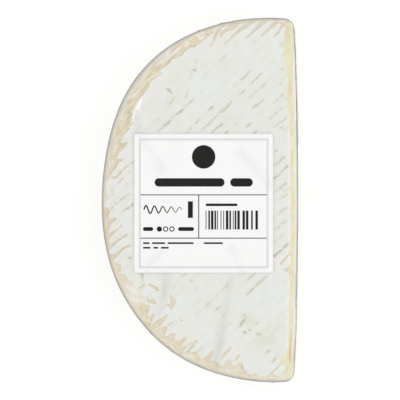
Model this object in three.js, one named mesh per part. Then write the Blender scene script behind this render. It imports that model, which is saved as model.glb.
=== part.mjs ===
// Half of a soft white-rind cheese wheel, cut a little past its middle and wrapped tight in clear film,
// with a square paper label stuck on top. It lies flat on its lower face.
// Millimetres, +Z up, the cut side towards +X, the cut running along Y.
// The origin is the middle of its footprint, on the surface that it rests on.
import * as THREE from "three";

// Driving dimensions of the wrapped half wheel
const length = 110.4; // along the cut, the wheel's diameter
const width = 59.7; // from the round side to the crown of the cut face
const height = 28;
const cutPastMiddle = 7.4; // from the wheel's centre to the crown of the cut face
const cutBow = 1.3; // how far the ends of the cut lie behind its middle, seen from above
const cornerRadius = 3; // where the round side meets the cut, seen from above

// How far the hand-turned wheel is out of round: by so many mm, at an angle from +X, over a width in degrees
const swells = [
  { at: 136, by: 2.7, over: 32 },
  { at: 170, by: -3.3, over: 37 },
  { at: 238, by: 0.5, over: 16 },
];

// The round side: its shoulders, as wide and tall, and how far it bellies out between them
const topShoulder = { wide: 8, tall: 8.5 };
const footShoulder = { wide: 5.5, tall: 6 };
const belly = 0.5;

// The cut face: the rind's edges draw back at the top and foot, and the paste bulges between them
const topEdge = { wide: 2.2, tall: 3.2 };
const footEdge = { wide: 1.4, tall: 2.2 };
const bulge = { top: 1.2, foot: 0.7, crownHeight: 15 };

// The label
const label = { side: 42, cornerRadius: 0.8, thickness: 0.3, x: 1.1, y: -1.0 };

// Fineness of the faceted solids
const directions = 160; // round the outline
const cornerCrowding = { extra: 4, over: 7 }; // more directions near the two corners, over so many degrees
const crowdingSamples = 3600;
const shoulderSteps = 7;
const wallSteps = 4;
const halvings = 40;
const labelCornerSteps = 6;

const degrees = Math.PI / 180;
const wheelCentre = new THREE.Vector2(width / 2 - cutPastMiddle, 0);

// The wheel's radius at an angle from +X, in degrees
function wheelRadius(angle) {
  let radius = length / 2;
  for (const { at, by, over } of swells) {
    const away = THREE.MathUtils.euclideanModulo(angle - at + 180, 360) - 180;
    radius += by * Math.exp(-((away / over) ** 2));
  }
  return radius;
}

// How far a rounded edge draws back, at a distance from its flat face: a quarter of an ellipse
function edgeInset(edge, fromFace) {
  const share = THREE.MathUtils.clamp(1 - fromFace / edge.tall, 0, 1);
  return edge.wide * (1 - Math.sqrt(1 - share * share));
}

function roundSideInset(z) {
  const middle = (height + footShoulder.tall - topShoulder.tall) / 2;
  const fromMiddle = (z - middle) / (height / 2);
  return edgeInset(topShoulder, height - z) + edgeInset(footShoulder, z) + belly * fromMiddle * fromMiddle;
}

function cutInset(z) {
  const above = z > bulge.crownHeight;
  const reach = above ? height - bulge.crownHeight : bulge.crownHeight;
  const share = (z - bulge.crownHeight) / reach;
  const drawnBack = (above ? bulge.top : bulge.foot) * share * share;
  return drawnBack + edgeInset(topEdge, height - z) + edgeInset(footEdge, z);
}

// Below zero inside the outline at a height, and zero on it
function outlineDistance(x, y, z) {
  const fromCentre = new THREE.Vector2(x, y).sub(wheelCentre);
  const round = fromCentre.length() - wheelRadius(fromCentre.angle() / degrees) + roundSideInset(z);
  const bow = cutBow * (y / (length / 2)) ** 2;
  const cut = x - (width / 2 - bow) + cutInset(z);
  const radius = cornerRadius + roundSideInset(z) / 2;
  const corner = Math.hypot(Math.max(round + radius, 0), Math.max(cut + radius, 0)) - radius;
  return Math.max(corner, Math.min(round, cut));
}

// The outline's point in a direction from the footprint's middle, found by halving
function outlinePoint(direction, z) {
  let inside = 0;
  let outside = length;
  for (let step = 0; step < halvings; step++) {
    const reach = (inside + outside) / 2;
    if (outlineDistance(reach * Math.cos(direction), reach * Math.sin(direction), z) < 0) {
      inside = reach;
    } else {
      outside = reach;
    }
  }
  return new THREE.Vector3(inside * Math.cos(direction), inside * Math.sin(direction), z);
}

// Directions round the outline, closer together near the two corners of the cut
function outlineDirections() {
  const cornerAngle = Math.atan2(length / 2, width / 2) / degrees;
  const crowding = (angle) => {
    const fromCorner = (Math.abs(angle) - cornerAngle) / cornerCrowding.over;
    return 1 + cornerCrowding.extra * Math.exp(-fromCorner * fromCorner);
  };
  const sums = [0];
  for (let i = 0; i < crowdingSamples; i++) {
    sums.push(sums[i] + crowding(-180 + (360 * (i + 0.5)) / crowdingSamples));
  }
  const found = [];
  let at = 0;
  for (let i = 0; i < directions; i++) {
    const wanted = (sums[crowdingSamples] * i) / directions;
    while (sums[at + 1] < wanted) {
      at++;
    }
    const share = (wanted - sums[at]) / (sums[at + 1] - sums[at]);
    found.push((-180 + (360 * (at + share)) / crowdingSamples) * degrees);
  }
  return found;
}

// Heights of the outlines: close together round each shoulder, and evenly spaced up the wall
function outlineHeights() {
  const heights = [];
  for (let i = 0; i <= shoulderSteps; i++) {
    heights.push(footShoulder.tall * (1 - Math.cos((90 * degrees * i) / shoulderSteps)));
  }
  const wall = height - footShoulder.tall - topShoulder.tall;
  for (let i = 1; i < wallSteps; i++) {
    heights.push(footShoulder.tall + (wall * i) / wallSteps);
  }
  for (let i = 0; i <= shoulderSteps; i++) {
    heights.push(height - topShoulder.tall * (1 - Math.sin((90 * degrees * i) / shoulderSteps)));
  }
  return heights;
}

function wrappedCheeseGeometry() {
  const ring = outlineDirections();
  const heights = outlineHeights();
  const positions = [0, 0, 0];
  for (const z of heights) {
    for (const direction of ring) {
      positions.push(...outlinePoint(direction, z).toArray());
    }
  }
  positions.push(0, 0, height);
  const topMiddle = 1 + heights.length * directions;
  const faces = [];
  for (let i = 0; i < directions; i++) {
    const next = (i + 1) % directions;
    faces.push(0, 1 + next, 1 + i);
    for (let level = 0; level + 1 < heights.length; level++) {
      const lower = 1 + level * directions;
      const upper = lower + directions;
      faces.push(lower + i, lower + next, upper + next);
      faces.push(lower + i, upper + next, upper + i);
    }
    const last = topMiddle - directions;
    faces.push(topMiddle, last + i, last + next);
  }
  const geometry = new THREE.BufferGeometry();
  geometry.setAttribute("position", new THREE.Float32BufferAttribute(positions, 3));
  geometry.setIndex(faces);
  geometry.computeVertexNormals();

  // The footprint's middle comes over the origin
  geometry.computeBoundingBox();
  const middle = geometry.boundingBox.getCenter(new THREE.Vector3());
  return geometry.translate(-middle.x, -middle.y, 0);
}

function labelGeometry() {
  const toArcCentre = label.side / 2 - label.cornerRadius;
  const outline = new THREE.Shape();
  outline.moveTo(label.side / 2, toArcCentre);
  for (let corner = 0; corner < 4; corner++) {
    const from = 90 * degrees * corner;
    const x = corner === 0 || corner === 3 ? toArcCentre : -toArcCentre;
    const y = corner < 2 ? toArcCentre : -toArcCentre;
    outline.absarc(x, y, label.cornerRadius, from, from + 90 * degrees, false);
  }
  const options = { depth: label.thickness, bevelEnabled: false, curveSegments: labelCornerSteps };
  return new THREE.ExtrudeGeometry(outline, options);
}

const wrappedCheese = new THREE.Mesh(
  wrappedCheeseGeometry(),
  new THREE.MeshStandardMaterial({ color: 0xe6e8df, roughness: 0.45, metalness: 0 }),
);
wrappedCheese.name = "wrapped_cheese";

const paperLabel = new THREE.Mesh(
  labelGeometry(),
  new THREE.MeshStandardMaterial({ color: 0xf6f6f6, roughness: 0.55, metalness: 0 }),
);
paperLabel.name = "label";
paperLabel.position.set(label.x, label.y, height);

const halfCheese = new THREE.Group();
halfCheese.add(wrappedCheese, paperLabel);

export default halfCheese;
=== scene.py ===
import math

import bpy
import numpy as np
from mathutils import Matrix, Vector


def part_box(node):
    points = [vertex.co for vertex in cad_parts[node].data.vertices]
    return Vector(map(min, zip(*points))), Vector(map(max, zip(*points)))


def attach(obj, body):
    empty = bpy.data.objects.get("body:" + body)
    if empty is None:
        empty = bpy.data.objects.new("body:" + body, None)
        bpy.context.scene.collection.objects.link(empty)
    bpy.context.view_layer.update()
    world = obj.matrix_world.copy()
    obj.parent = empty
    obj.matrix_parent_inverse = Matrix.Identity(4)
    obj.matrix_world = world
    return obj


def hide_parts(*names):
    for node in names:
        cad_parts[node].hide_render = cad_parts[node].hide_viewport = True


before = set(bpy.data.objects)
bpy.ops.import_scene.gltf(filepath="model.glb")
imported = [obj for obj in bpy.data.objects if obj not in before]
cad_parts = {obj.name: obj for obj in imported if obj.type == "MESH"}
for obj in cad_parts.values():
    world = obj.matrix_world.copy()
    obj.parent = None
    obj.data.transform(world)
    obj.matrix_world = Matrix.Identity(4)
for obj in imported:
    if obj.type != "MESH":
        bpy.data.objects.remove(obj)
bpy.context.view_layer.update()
mm = 0.001
boxLow, boxHigh = [np.array(corner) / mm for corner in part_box("wrapped_cheese")]
labelLow, labelHigh = [np.array(corner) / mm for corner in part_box("label")]
height = boxHigh[2] - boxLow[2]
labelMiddle = (labelLow + labelHigh) / 2

# the wrapped half wheel, in mm, as the frame has it
halfWheel = {
    "diameter": 110.4,
    "cutPastMiddle": 7.4,  # from the wheel's middle to the crown of the cut
    "cutBow": 1.3,  # how far the cut's ends lie behind its middle
    "cornerRadius": 3.0,
    "swells": [(136, 2.7, 32), (170, -3.3, 37), (238, 0.5, 16)],  # angle, by so much, over so many degrees
    "topShoulder": (8.0, 8.5),  # wide, tall
    "footShoulder": (5.5, 6.0),
    "belly": 0.5,
    "topEdge": (2.2, 3.2),
    "footEdge": (1.4, 2.2),
    "bulge": (1.2, 0.7, 15.0),  # at the top, at the foot, height of the crown
}
rackAngle = 43.5  # the rack's wires run this way, in degrees from +X
farAway = 100.0  # mm, more than any distance on the part


def wheelRadius(angle):
    radius = np.zeros_like(angle) + halfWheel["diameter"] / 2
    for at, by, over in halfWheel["swells"]:
        away = (angle - at + 180) % 360 - 180
        radius = radius + by * np.exp(-((away / over) ** 2))
    return radius


wheelX = boxHigh[0] - halfWheel["cutPastMiddle"]
wheelY = boxLow[1] + float(wheelRadius(270.0))


def fromWheelMiddle(x, y):
    # angle in degrees from +X, and distance
    return np.degrees(np.arctan2(y - wheelY, x - wheelX)), np.hypot(x - wheelX, y - wheelY)


def edgeInset(edge, fromFace):
    wide, tall = edge
    share = np.clip(1 - fromFace / tall, 0, 1)
    return wide * (1 - np.sqrt(1 - share * share))


def roundSideInset(z):
    middle = (height + halfWheel["footShoulder"][1] - halfWheel["topShoulder"][1]) / 2
    fromMiddle = (z - middle) / (height / 2)
    shoulders = edgeInset(halfWheel["topShoulder"], height - z) + edgeInset(halfWheel["footShoulder"], z)
    return shoulders + halfWheel["belly"] * fromMiddle * fromMiddle


def cutInset(z):
    top, foot, crown = halfWheel["bulge"]
    share = np.where(z > crown, (z - crown) / (height - crown), (z - crown) / crown)
    drawnBack = np.where(z > crown, top, foot) * share * share
    return drawnBack + edgeInset(halfWheel["topEdge"], height - z) + edgeInset(halfWheel["footEdge"], z)


def roundSideDepth(x, y, z):
    angle, reach = fromWheelMiddle(x, y)
    return wheelRadius(angle) - roundSideInset(z) - reach


def fromCrown(x, y):
    # how far a place lies behind the cut's crown, seen from above
    bow = halfWheel["cutBow"] * ((y - wheelY) / (halfWheel["diameter"] / 2)) ** 2
    return boxHigh[0] - bow - x


def cutDepth(x, y, z):
    return fromCrown(x, y) - cutInset(z)


def outlineDistance(x, y, z):
    roundSide = -roundSideDepth(x, y, z)
    cut = -cutDepth(x, y, z)
    radius = halfWheel["cornerRadius"] + roundSideInset(z) / 2
    corner = np.hypot(np.maximum(roundSide + radius, 0), np.maximum(cut + radius, 0)) - radius
    return np.maximum(corner, np.minimum(roundSide, cut))


def smoothStep(low, high, value):
    share = np.clip((value - low) / (high - low), 0, 1)
    return share * share * (3 - 2 * share)


def makeLumps(seed):
    # smooth random lumps from -1 to 1, at a size in mm
    cells = 32
    heights = np.random.default_rng(seed).uniform(-1, 1, (cells, cells, cells))

    def lumps(points, size):
        at = points / size
        cell = np.floor(at).astype(int)
        share = at - cell
        share = share * share * (3 - 2 * share)
        total = np.zeros(len(points))
        for corner in np.ndindex(2, 2, 2):
            weight = np.prod(np.where(corner, share, 1 - share), axis=1)
            i, j, k = ((cell + corner) % cells).T
            total = total + weight * heights[i, j, k]
        return total

    return lumps


def layered(lumps, points, layers):
    # lumps of several sizes added up: each layer has an amount, a size in mm and a shift
    return sum(amount * lumps(points + shift, size) for amount, size, shift in layers)


def onPlane(x, y):
    return np.stack([x, y, np.zeros_like(x)], axis=1)


def turnedPlace(x, y, degrees):
    cosine = math.cos(math.radians(degrees))
    sine = math.sin(math.radians(degrees))
    return x * cosine - y * sine, x * sine + y * cosine


def turned(points, degrees):
    x, y, z = points.T
    return np.stack([*turnedPlace(x, y, degrees), z], axis=1)


def alongSegment(x, y, start, end):
    # how far along a segment each place lies, from 0 to 1, and how far off it
    ax, ay = start[:2]
    bx, by = end[:2]
    square = max((bx - ax) ** 2 + (by - ay) ** 2, 1e-6)
    share = np.clip(((x - ax) * (bx - ax) + (y - ay) * (by - ay)) / square, 0, 1)
    return share, np.hypot(x - ax - share * (bx - ax), y - ay - share * (by - ay))


def distanceTo(x, y, start, end):
    return alongSegment(x, y, start, end)[1]


def readVertices(mesh, what):
    flat = np.zeros(len(mesh.vertices) * 3)
    mesh.vertices.foreach_get(what, flat)
    return flat.reshape(-1, 3)


def setPoints(mesh, points):
    mesh.vertices.foreach_set("co", points.ravel())
    mesh.update()


def addPiece(name, vertices, faces):
    mesh = bpy.data.meshes.new(name)
    mesh.from_pydata([tuple(v) for v in vertices], [], faces)
    piece = bpy.data.objects.new(name, mesh)
    bpy.context.scene.collection.objects.link(piece)
    return piece


def applyModifiers(piece):
    depsgraph = bpy.context.evaluated_depsgraph_get()
    rough = piece.data
    piece.data = bpy.data.meshes.new_from_object(piece.evaluated_get(depsgraph))
    piece.modifiers.clear()
    bpy.data.meshes.remove(rough)


def storeFields(piece, **fields):
    for name, values in fields.items():
        field = piece.data.attributes.new(name, "FLOAT", "POINT")
        field.data.foreach_set("value", np.asarray(values, np.float32))


# how a closed skin is made
skinLook = {
    "directionStep": 0.5,  # degrees
    "shoulderLevels": 17,
    "wallLevels": 8,
    "halvings": 24,
    "smoothing": 3,
    "thinningPull": 10,  # how much sooner the marked parts are thinned
    "hiddenHalf": 19,  # half the side of the square that the label hides
}


def outlineRings(gap):
    # the half wheel's outlines from foot to top, drawn in by a gap
    directions = np.radians(np.arange(0, 360, skinLook["directionStep"]))
    footTall = halfWheel["footShoulder"][1]
    topTall = halfWheel["topShoulder"][1]
    rise = np.sin(np.linspace(0, math.pi / 2, skinLook["shoulderLevels"]))
    wall = np.linspace(footTall, height - topTall, skinLook["wallLevels"])[1:-1]
    levels = np.concatenate([footTall * (1 - rise[::-1]), wall, height - topTall * (1 - rise)])
    rings = []
    for z in levels:
        inside = np.zeros_like(directions)
        outside = np.full_like(directions, halfWheel["diameter"])
        for halving in range(skinLook["halvings"]):
            reach = (inside + outside) / 2
            within = outlineDistance(reach * np.cos(directions), reach * np.sin(directions), z) < -gap
            inside = np.where(within, reach, inside)
            outside = np.where(within, outside, reach)
        lifted = np.full_like(directions, gap + z * (1 - 2 * gap / height))
        rings.append(np.stack([inside * np.cos(directions), inside * np.sin(directions), lifted], axis=1))
    return rings


def countTriangles(piece):
    return sum(len(face.vertices) - 2 for face in piece.data.polygons)


def makeSkin(name, look, thinning):
    # a closed skin with even faces along the rack's wires, thinned where its weights say so
    rings = outlineRings(look["gap"])
    around = len(rings[0])
    faces = [list(range(around))[::-1]]
    for first in range(0, (len(rings) - 1) * around, around):
        for i in range(around):
            j = (i + 1) % around
            faces.append([first + i, first + j, first + around + j, first + around + i])
    faces.append([(len(rings) - 1) * around + i for i in range(around)])
    piece = addPiece(name, turned(np.concatenate(rings), -rackAngle), faces)

    remesh = piece.modifiers.new("even faces", "REMESH")
    remesh.mode = "VOXEL"
    remesh.voxel_size = look["voxel"]
    smooth = piece.modifiers.new("smooth", "SMOOTH")
    smooth.factor = 0.5
    smooth.iterations = skinLook["smoothing"]
    applyModifiers(piece)

    points = turned(readVertices(piece.data, "co"), rackAngle)
    weights = thinning(points)
    group = piece.vertex_groups.new(name="thinned")
    for weight in np.unique(weights[weights > 0]):
        group.add(np.flatnonzero(weights == weight).tolist(), float(weight), "REPLACE")
    setPoints(piece.data, points)
    thin = piece.modifiers.new("thin out", "DECIMATE")
    thin.ratio = min(1.0, look["triangles"] / countTriangles(piece))
    thin.vertex_group = group.name
    thin.vertex_group_factor = skinLook["thinningPull"]
    applyModifiers(piece)
    print(name, "has", countTriangles(piece), "triangles")
    return piece


def underLabel(points):
    # places on the top that the label hides
    away = np.abs(points[:, :2] - labelMiddle[:2]).max(axis=1)
    return (away < skinLook["hiddenHalf"]) & (points[:, 2] > height / 2)


# long soft folds that the film has over the top: places in mm, width and height
topFolds = [
    {"through": [(-20.5, 26.0), (-17.2, 18.2), (-11.1, 9.1)], "width": 1.3, "height": 0.10},
    {"through": [(12.1, 14.6), (20.6, 4.6)], "width": 1.4, "height": 0.10},
    {"through": [(-11.4, -15.0), (-16.0, -20.5)], "width": 1.2, "height": 0.09},
    {"through": [(-10.3, -22.5), (-10.9, -28.2), (-12.7, -34.4)], "width": 1.3, "height": 0.13},
    {"through": [(9.7, -14.4), (13.1, -21.7)], "width": 1.2, "height": 0.09},
    {"through": [(9.1, -23.5), (7.7, -31.3), (4.9, -49.8)], "width": 1.2, "height": 0.11},
]
foldLook = {
    "wander": [(0.35, 6.0, 30), (0.2, 2.5, 90)],
    "swell": [(0.55, 4.5, 50)],
    "leastSwell": 0.9,
    "tallest": 0.13,
}
filmLook = {"gap": 0.28, "voxel": 0.42, "triangles": 180000, "footThinned": 0.6, "sag": [(0.05, 19.0, 0)]}
topLumps = makeLumps(5)


def foldRelief(x, y):
    # the folds wander a little, and swell and sink along their length
    wavyX = x + layered(topLumps, onPlane(x, y), foldLook["wander"])
    swell = foldLook["leastSwell"] + layered(topLumps, onPlane(x, y), foldLook["swell"])
    total = np.zeros_like(x)
    for fold in topFolds:
        through = fold["through"]
        reach = np.min([distanceTo(wavyX, y, a, b) for a, b in zip(through, through[1:])], axis=0)
        total = total + fold["height"] * np.exp(-((reach / fold["width"]) ** 2))
    return total * swell


def topSag(x, y):
    return layered(topLumps, onPlane(x, y), filmLook["sag"])


def filmTop(x, y):
    # the height of the film over the flat top
    return height - filmLook["gap"] + foldRelief(x, y) + topSag(x, y)


# the edge of the white mould on the top, from the cut's upper end round to its lower end
mouldEdge = [
    (34.0, 47.0), (26.6, 47.6), (26.5, 50.4), (25.6, 51.9), (24.0, 53.2), (22.4, 54.1), (18.0, 54.0),
    (14.5, 53.5), (11.0, 53.0), (8.0, 52.1), (6.2, 51.8), (5.6, 50.6), (4.9, 51.7), (4.2, 50.5),
    (3.0, 49.6), (2.1, 49.0), (1.2, 48.1), (0.5, 47.3), (-1.0, 46.7), (-1.6, 45.9), (-2.4, 46.1),
    (-4.2, 45.0), (-5.1, 43.9), (-6.8, 42.9), (-8.4, 42.2), (-9.8, 40.6), (-11.0, 39.7), (-12.3, 38.8),
    (-11.3, 38.4), (-11.6, 37.7), (-13.2, 36.9), (-14.3, 35.9), (-15.2, 35.2), (-15.5, 33.9), (-16.6, 32.4),
    (-17.8, 31.1), (-18.5, 30.0), (-19.2, 29.0), (-19.8, 27.5), (-20.4, 25.8), (-20.1, 24.3), (-20.2, 23.2),
    (-20.8, 22.0), (-21.8, 20.8), (-22.9, 19.6), (-23.8, 17.9), (-23.9, 17.2), (-22.7, 17.3), (-21.8, 18.0),
    (-22.0, 16.6), (-23.5, 14.9), (-24.9, 13.4), (-25.8, 12.7), (-24.6, 12.3), (-22.6, 12.5), (-24.2, 11.3),
    (-24.9, 10.1), (-26.3, 8.6), (-26.6, 7.5), (-26.2, 6.9), (-27.3, 6.2), (-28.2, 5.0), (-28.2, 3.9),
    (-26.9, 3.7), (-25.9, 3.2), (-26.3, 2.3), (-27.4, 0.4), (-28.2, -0.2), (-28.2, -2.0), (-27.5, -2.3),
    (-27.0, -3.4), (-27.6, -5.2), (-26.9, -6.4), (-27.3, -8.0), (-27.7, -9.5), (-26.8, -10.6),
    (-27.3, -12.5), (-27.0, -14.4), (-27.3, -16.0), (-26.0, -16.9), (-25.9, -18.6), (-25.5, -19.3),
    (-23.9, -19.2), (-23.6, -21.3), (-24.5, -22.0), (-22.4, -22.4), (-22.0, -23.8), (-20.4, -24.8),
    (-20.0, -26.0), (-18.8, -26.4), (-18.2, -27.8), (-17.3, -28.6), (-17.4, -30.0), (-16.4, -30.4),
    (-16.6, -31.8), (-15.0, -31.9), (-15.3, -33.2), (-16.2, -34.9), (-15.2, -35.3), (-13.9, -34.2),
    (-14.0, -35.2), (-14.9, -37.0), (-14.2, -37.4), (-13.2, -37.0), (-11.4, -35.6), (-10.3, -34.4),
    (-9.8, -34.9), (-11.3, -36.8), (-12.5, -38.3), (-12.2, -38.8), (-10.2, -38.1), (-9.7, -38.6),
    (-10.6, -40.0), (-11.0, -41.3), (-9.6, -41.0), (-8.2, -40.0), (-7.5, -40.3), (-7.8, -42.0),
    (-7.3, -42.7), (-5.9, -42.3), (-4.9, -41.4), (-4.1, -41.6), (-5.4, -43.1), (-6.1, -44.5), (-6.2, -45.4),
    (-4.8, -45.8), (-3.6, -46.3), (-2.2, -45.9), (-1.2, -46.0), (-0.5, -46.8), (0.2, -48.0), (1.4, -47.9),
    (2.4, -47.3), (2.4, -48.6), (4.2, -48.5), (5.1, -49.4), (6.3, -50.3), (7.4, -49.9), (8.3, -48.3),
    (9.4, -48.9), (10.1, -50.4), (11.2, -49.4), (12.7, -49.2), (13.2, -51.0), (14.2, -52.4), (15.3, -52.9),
    (16.5, -52.4), (17.8, -53.4), (20.0, -53.3), (21.6, -52.3), (22.6, -53.2), (23.8, -53.3), (24.9, -51.9),
    (26.2, -50.2), (26.7, -48.6), (34.0, -48.3),
]

# the paste seen from above along the cut: at places along the cut, so wide
stripWidths = [
    (-54, 2.0), (-49, 1.8), (-45, 1.6), (-40, 1.5), (-37, 2.2), (-34, 1.8), (-31, 1.3), (-29, 2.1),
    (-26, 1.6), (-22, 3.0), (-20, 2.9), (-18, 2.2), (-15.5, 2.9), (-13.8, 1.6), (-12, 2.4), (-9, 2.1),
    (-5, 1.6), (1, 1.8), (3.5, 2.7), (5, 2.0), (8, 1.8), (10, 2.4), (13, 2.1), (18, 1.9), (20, 2.4),
    (22, 3.0), (24, 2.6), (26, 3.2), (28.5, 2.8), (31, 3.3), (35, 2.9), (38, 3.1), (42, 3.1), (45, 3.3),
    (47, 3.2), (50, 3.2), (54, 2.8),
]

# bare strokes on the top: x, y and width in mm at each place that a stroke runs through
topTeeth = {"bare": 0.82, "olive": 0.25, "strokes": [
    [(16.8, 54.6, 1.5), (14.3, 52.8, 1.3), (12.0, 51.3, 1.1), (10.0, 49.4, 0.8), (8.6, 48.0, 0.5),
     (7.4, 46.9, 0.5)],
    [(12.5, 53.8, 0.8), (9.8, 51.8, 1.0), (7.2, 50.8, 1.2), (6.5, 50.3, 1.1), (6.2, 49.4, 0.6)],
    [(20.3, 54.8, 1.6), (18.4, 53.0, 1.3), (16.6, 51.4, 0.9), (15.4, 50.0, 0.6), (14.6, 49.4, 0.7),
     (13.7, 48.8, 0.5)],
    [(24.4, 54.8, 1.6), (22.8, 53.4, 1.3), (21.0, 51.8, 1.1), (19.8, 50.5, 0.8), (18.6, 49.6, 0.6)],
    [(25.2, 53.6, 1.4), (24.8, 52.6, 1.1), (23.9, 51.0, 0.6), (22.9, 49.7, 0.6), (22.1, 48.8, 0.35)],
]}
teeth = {"bare": 0.92, "olive": 0.25, "strokes": [
    [(5.3, 51.8, 1.0), (5.1, 50.2, 0.9), (4.4, 48.4, 0.7), (3.7, 47.1, 0.4), (3.0, 46.4, 0.5)],
    [(-26.2, 6.7, 1.0), (-25.0, 7.0, 0.8), (-24.0, 8.2, 0.8), (-23.2, 9.2, 0.5), (-22.6, 9.7, 0.5)],
    [(-28.0, -7.6, 1.8), (-26.8, -6.5, 1.2), (-25.6, -5.7, 1.1)],
    [(-28.2, -11.0, 2.0), (-26.4, -10.0, 0.9), (-25.2, -9.1, 0.5), (-24.2, -8.2, 0.45), (-23.6, -7.6, 0.5)],
    [(-28.0, -14.4, 1.8), (-26.3, -13.5, 1.0), (-25.0, -12.5, 0.8), (-23.6, -11.5, 0.7),
     (-22.1, -10.5, 0.6)],
    [(-27.0, -17.4, 1.6), (-25.2, -16.6, 1.2), (-24.0, -15.4, 0.75), (-22.6, -14.3, 0.6),
     (-21.0, -13.7, 0.7)], [(-9.9, -34.8, 0.7), (-11.5, -36.2, 1.4), (-13.2, -37.8, 1.9)],
    [(-4.2, -41.2, 0.5), (-5.2, -42.3, 1.1), (-6.6, -44.0, 1.6)],
    [(-7.4, -40.4, 0.6), (-8.8, -41.4, 1.3), (-10.4, -42.8, 1.7)],
    [(3.9, -45.7, 0.7), (2.8, -47.0, 1.4), (1.6, -48.3, 1.8)],
    [(-5.6, -45.1, 0.6), (-3.4, -43.6, 0.5), (-1.3, -42.2, 0.5), (-0.9, -42.5, 0.6), (-2.0, -44.0, 0.55),
     (-3.6, -45.6, 0.8)], [(9.3, -44.4, 0.6), (8.6, -45.3, 0.8), (7.3, -46.4, 0.7), (6.6, -47.7, 0.5)],
    [(12.0, -46.6, 0.4), (11.3, -47.4, 0.8), (10.7, -48.2, 0.5)],
    [(24.3, -49.1, 0.45), (23.2, -50.7, 0.45), (21.6, -52.2, 0.6), (20.4, -53.3, 0.9)],
    [(25.6, -36.0, 0.3), (26.6, -34.9, 0.4), (27.8, -33.6, 0.6)],
]}
tanSpots = {"bare": 0.85, "olive": 0.5, "strokes": [
    [(-15.5, -25.4, 0.6), (-14.2, -26.0, 0.8), (-13.3, -26.4, 1.3), (-12.9, -26.9, 1.1)],
    [(-16.0, -28.8, 0.4), (-15.9, -29.8, 0.6), (-15.2, -30.5, 1.0), (-14.3, -30.4, 1.6),
     (-13.5, -31.0, 1.0)], [(-6.0, -36.2, 0.45), (-5.4, -36.4, 0.5)],
    [(24.5, -19.0, 0.9), (25.6, -17.8, 0.6), (27.0, -16.2, 0.8)],
    [(-19.7, 26.4, 0.3), (-19.1, 27.0, 0.9), (-18.9, 27.8, 0.5)], [(-9.8, -31.5, 0.5), (-9.0, -32.5, 0.7)],
    [(-27.3, 0.4, 0.4), (-26.6, 1.3, 0.4), (-25.9, 2.1, 0.4)],
    [(-7.5, -30.0, 0.5), (-7.5, -30.9, 0.5), (-8.8, -32.9, 0.4)],
]}
paleSpots = {"bare": 0.6, "olive": 0.5, "strokes": [
    [(-9.4, -28.2, 0.4), (-8.6, -29.2, 1.1), (-8.1, -30.4, 1.6), (-8.7, -31.7, 1.2), (-8.9, -32.6, 0.5)],
]}
darkMarks = {"bare": 0.9, "olive": 1.0, "strokes": [
    [(-10.1, 33.6, 0.35), (-9.2, 32.9, 0.85), (-8.7, 32.2, 0.6)],
    [(-2.1, 39.0, 0.4), (-1.5, 39.1, 0.75), (-1.2, 39.5, 0.5)],
    [(-11.2, 22.3, 0.5), (-10.4, 22.7, 0.75), (-9.5, 23.2, 0.85), (-9.0, 23.9, 0.4)],
    [(-7.9, 25.3, 0.35), (-6.6, 26.1, 0.55), (-5.6, 26.8, 0.85), (-4.9, 27.7, 0.5), (-4.4, 28.3, 0.3)],
    [(15.6, 35.2, 0.5), (16.4, 36.1, 0.4), (17.8, 37.4, 0.5), (18.7, 38.2, 0.25)],
    [(3.6, 20.1, 0.5), (4.8, 21.5, 0.6), (5.8, 22.2, 0.45), (6.6, 22.9, 0.6)],
    [(7.6, 20.1, 0.6), (8.9, 21.0, 0.4)], [(16.2, 20.2, 0.6), (16.9, 20.7, 0.6)],
    [(2.5, 26.9, 0.4), (3.3, 27.6, 0.6), (4.0, 28.4, 0.3)],
    [(22.2, 10.3, 0.3), (23.4, 11.1, 0.45), (24.8, 12.5, 0.4), (25.5, 13.0, 0.6)],
    [(22.3, 6.5, 0.6), (23.8, 7.7, 0.45), (25.2, 9.1, 0.5), (26.2, 10.1, 0.8)],
    [(23.7, -4.2, 0.3), (24.8, -3.1, 0.6), (26.1, -2.3, 0.4)], [(26.6, 3.3, 0.4), (27.2, 3.4, 0.7)],
    [(22.3, -16.8, 0.9), (23.2, -16.0, 0.7), (24.3, -15.4, 0.7), (25.0, -14.6, 0.4), (26.4, -13.3, 0.7)],
    [(14.2, -28.4, 0.3), (15.3, -27.4, 0.75), (16.3, -26.3, 0.35)],
    [(14.3, -24.2, 0.3), (15.2, -23.2, 0.45), (16.6, -22.1, 0.45)],
    [(12.1, -38.1, 0.4), (12.4, -37.4, 0.8), (12.9, -36.8, 0.7), (13.6, -35.9, 0.4)],
    [(13.0, -39.7, 0.4), (13.5, -39.9, 1.0), (14.0, -39.9, 0.5)], [(15.0, -39.1, 0.8)],
    [(16.9, -37.4, 0.4), (17.3, -36.9, 0.4)], [(-20.6, -1.7, 0.7), (-20.1, -1.0, 0.5)],
    [(-23.2, -3.3, 0.4), (-22.4, -2.9, 0.5), (-21.6, -2.4, 0.7)], [(-25.6, -0.9, 0.4), (-25.0, -1.1, 0.5)],
    [(-21.5, -17.2, 0.4), (-21.0, -17.5, 0.6), (-20.6, -17.2, 0.3)],
]}
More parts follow.
